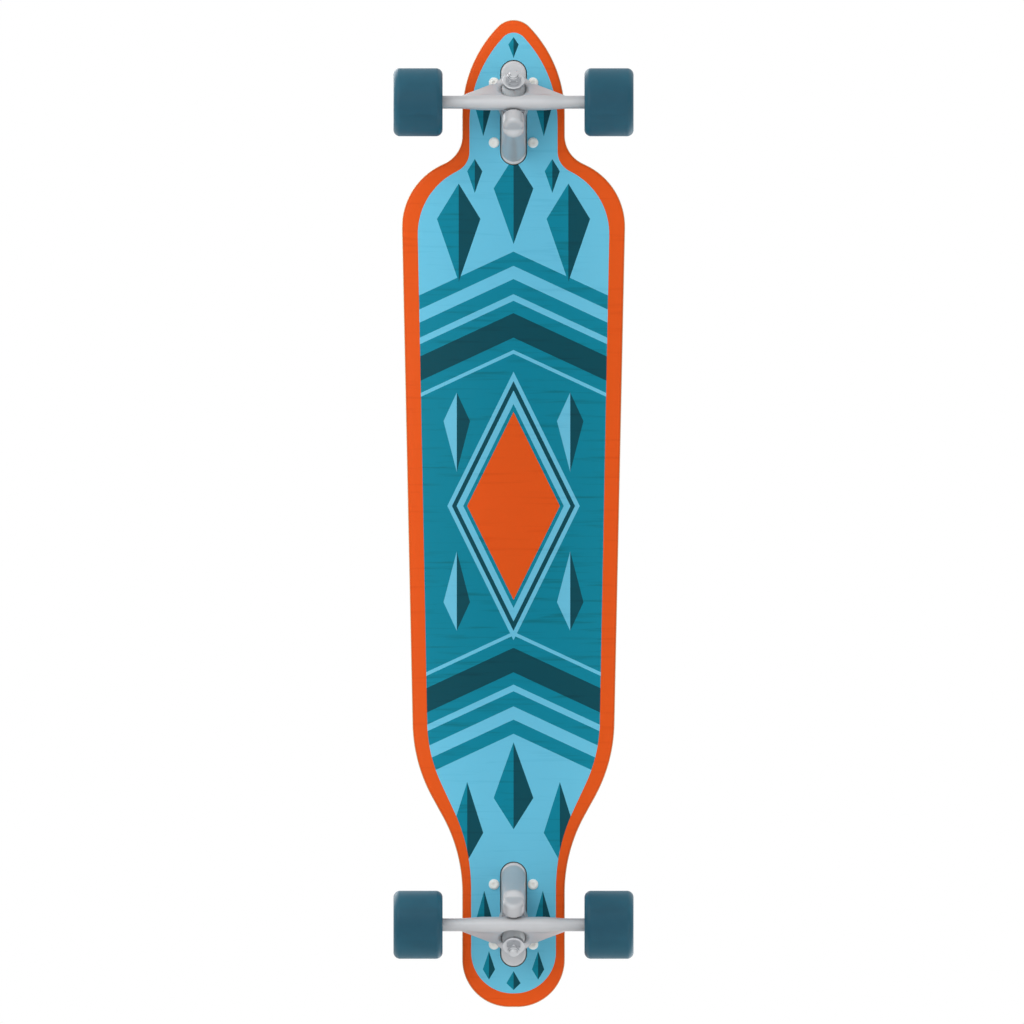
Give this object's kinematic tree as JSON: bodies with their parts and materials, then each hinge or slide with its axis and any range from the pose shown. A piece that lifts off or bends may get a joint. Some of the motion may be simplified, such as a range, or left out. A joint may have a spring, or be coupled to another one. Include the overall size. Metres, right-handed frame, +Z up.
{
  "type": "longboard skateboard",
  "caption": "Drop-through longboard skateboard: pressed deck with narrow truck necks, reverse-kingpin trucks that lean to steer, and wide urethane wheels on ball bearings.",
  "frame": {"origin": "on the floor, under the middle of the board", "axes": "+X to the nose, +Y to the rider's left, +Z up from the floor through the deck"},
  "size_m": [1.0439, 0.254, 0.112],
  "materials": {
    "maple": "pressed maple plies, printed underside under clear lacquer",
    "grip": "black abrasive grit on film",
    "white_paint": "white enamel over steel",
    "zinc_steel": "bright zinc plate",
    "cast_aluminium": "die-cast, light grey powder coat",
    "cup_urethane": "moulded urethane",
    "bushing_urethane": "poured urethane, satin",
    "axle_steel": "ground steel",
    "wheel_urethane": "poured urethane, satin, slightly translucent",
    "core_plastic": "injection moulded nylon",
    "bearing_steel": "ground and polished",
    "shield_steel": "pressed sheet, satin"
  },
  "bodies": {
    "deck": {"deck": "maple", "grip_tape": "grip", "mount_bolts": "white_paint", "mount_nuts": "zinc_steel", "front_baseplate": "cast_aluminium", "front_pivot_cup": "cup_urethane", "front_kingpin": "zinc_steel", "front_kingpin_nut": "zinc_steel", "front_board_washer": "zinc_steel", "front_road_washer": "zinc_steel", "front_board_bushing": "bushing_urethane", "front_road_bushing": "bushing_urethane", "rear_baseplate": "cast_aluminium", "rear_pivot_cup": "cup_urethane", "rear_kingpin": "zinc_steel", "rear_kingpin_nut": "zinc_steel", "rear_board_washer": "zinc_steel", "rear_road_washer": "zinc_steel", "rear_board_bushing": "bushing_urethane", "rear_road_bushing": "bushing_urethane"},
    "front_hanger": {"front_hanger": "cast_aluminium", "front_axle": "axle_steel", "front_axle_nuts": "zinc_steel", "front_speed_rings": "zinc_steel", "front_bearing_spacers": "axle_steel", "front_left_inner_races": "bearing_steel", "front_right_inner_races": "bearing_steel"},
    "front_left_wheel": {"front_left_tyre": "wheel_urethane", "front_left_core": "core_plastic", "front_left_outer_races": "bearing_steel", "front_left_bearing_shields": "shield_steel"},
    "front_left_ball_sets": {"front_left_ball_sets": "bearing_steel"},
    "front_right_wheel": {"front_right_tyre": "wheel_urethane", "front_right_core": "core_plastic", "front_right_outer_races": "bearing_steel", "front_right_bearing_shields": "shield_steel"},
    "front_right_ball_sets": {"front_right_ball_sets": "bearing_steel"},
    "rear_hanger": {"rear_hanger": "cast_aluminium", "rear_axle": "axle_steel", "rear_axle_nuts": "zinc_steel", "rear_speed_rings": "zinc_steel", "rear_bearing_spacers": "axle_steel", "rear_left_inner_races": "bearing_steel", "rear_right_inner_races": "bearing_steel"},
    "rear_left_wheel": {"rear_left_tyre": "wheel_urethane", "rear_left_core": "core_plastic", "rear_left_outer_races": "bearing_steel", "rear_left_bearing_shields": "shield_steel"},
    "rear_left_ball_sets": {"rear_left_ball_sets": "bearing_steel"},
    "rear_right_wheel": {"rear_right_tyre": "wheel_urethane", "rear_right_core": "core_plastic", "rear_right_outer_races": "bearing_steel", "rear_right_bearing_shields": "shield_steel"},
    "rear_right_ball_sets": {"rear_right_ball_sets": "bearing_steel"}
  },
  "joints": [
    {"name": "front_steer", "type": "hinge", "parent": "deck", "child": "front_hanger", "pos_m": [0.4454, 0, 0.05882], "axis": [0.7431, 0, 0.6691], "range_deg": [-20, 20], "stiffness_Nm_per_rad": 60, "deforming": ["front_board_bushing", "front_road_bushing"]},
    {"name": "front_left_spin", "type": "hinge", "parent": "front_hanger", "child": "front_left_wheel", "pos_m": [0.435, 0.102, 0.036], "axis": [0, 1, 0], "continuous": true},
    {"name": "front_left_ball_orbit", "type": "hinge", "parent": "front_hanger", "child": "front_left_ball_sets", "pos_m": [0.435, 0.102, 0.036], "axis": [0, 1, 0], "continuous": true},
    {"name": "front_right_spin", "type": "hinge", "parent": "front_hanger", "child": "front_right_wheel", "pos_m": [0.435, -0.102, 0.036], "axis": [0, 1, 0], "continuous": true},
    {"name": "front_right_ball_orbit", "type": "hinge", "parent": "front_hanger", "child": "front_right_ball_sets", "pos_m": [0.435, -0.102, 0.036], "axis": [0, 1, 0], "continuous": true},
    {"name": "rear_steer", "type": "hinge", "parent": "deck", "child": "rear_hanger", "pos_m": [-0.4454, 0, 0.05882], "axis": [-0.7431, 0, 0.6691], "range_deg": [-20, 20], "stiffness_Nm_per_rad": 60, "deforming": ["rear_board_bushing", "rear_road_bushing"]},
    {"name": "rear_left_spin", "type": "hinge", "parent": "rear_hanger", "child": "rear_left_wheel", "pos_m": [-0.435, 0.102, 0.036], "axis": [0, 1, 0], "continuous": true},
    {"name": "rear_left_ball_orbit", "type": "hinge", "parent": "rear_hanger", "child": "rear_left_ball_sets", "pos_m": [-0.435, 0.102, 0.036], "axis": [0, 1, 0], "continuous": true},
    {"name": "rear_right_spin", "type": "hinge", "parent": "rear_hanger", "child": "rear_right_wheel", "pos_m": [-0.435, -0.102, 0.036], "axis": [0, 1, 0], "continuous": true},
    {"name": "rear_right_ball_orbit", "type": "hinge", "parent": "rear_hanger", "child": "rear_right_ball_sets", "pos_m": [-0.435, -0.102, 0.036], "axis": [0, 1, 0], "continuous": true}
  ],
  "couplings": [
    {"joint": "front_left_ball_orbit", "follows": "front_left_spin", "ratio": 0.6293},
    {"joint": "front_right_ball_orbit", "follows": "front_right_spin", "ratio": 0.6293},
    {"joint": "rear_left_ball_orbit", "follows": "rear_left_spin", "ratio": 0.6293},
    {"joint": "rear_right_ball_orbit", "follows": "rear_right_spin", "ratio": 0.6293}
  ]
}
